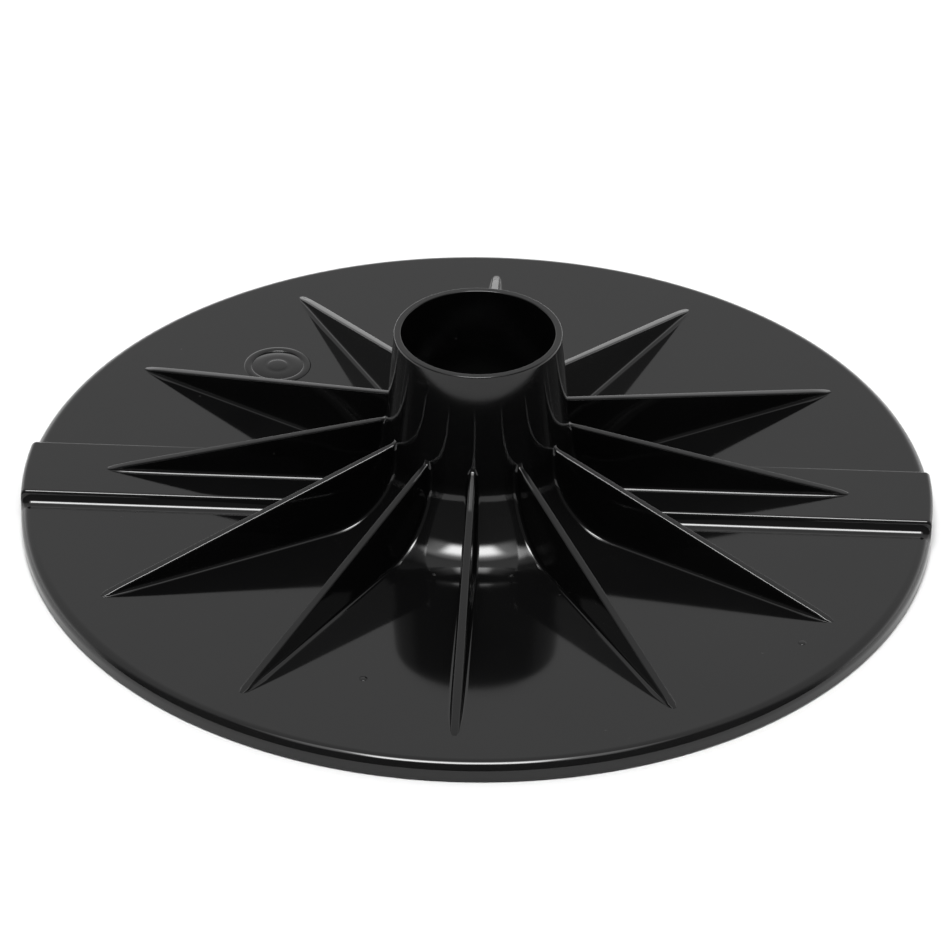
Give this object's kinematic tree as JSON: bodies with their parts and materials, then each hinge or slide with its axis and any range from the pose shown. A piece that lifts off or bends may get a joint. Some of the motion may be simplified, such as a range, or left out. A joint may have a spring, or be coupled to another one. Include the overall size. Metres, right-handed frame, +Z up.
{
  "type": "hose suction plate",
  "caption": "Round black suction plate with a central hose spigot on a flared foot, thin radial gussets and a raised channel across its diameter.",
  "frame": {"origin": "centre of the plate's standing face, on the spigot's axis", "axes": "+Z up the spigot, +X along the raised channel towards rib 4, -Y towards rib 1"},
  "size_m": [0.21, 0.21, 0.0477],
  "materials": {
    "black_plastic": "gloss, as moulded"
  },
  "bodies": {
    "root": {"plate_front": "black_plastic", "plate_rear": "black_plastic", "rim_front": "black_plastic", "rim_rear": "black_plastic", "channel_left": "black_plastic", "channel_right": "black_plastic", "spigot_tube": "black_plastic", "spigot_flare": "black_plastic", "rib_01": "black_plastic", "rib_02": "black_plastic", "rib_03": "black_plastic", "rib_04": "black_plastic", "rib_05": "black_plastic", "rib_06": "black_plastic", "rib_07": "black_plastic", "rib_08": "black_plastic", "rib_09": "black_plastic", "rib_10": "black_plastic", "rib_11": "black_plastic", "rib_12": "black_plastic", "medallion": "black_plastic"}
  },
  "joints": []
}
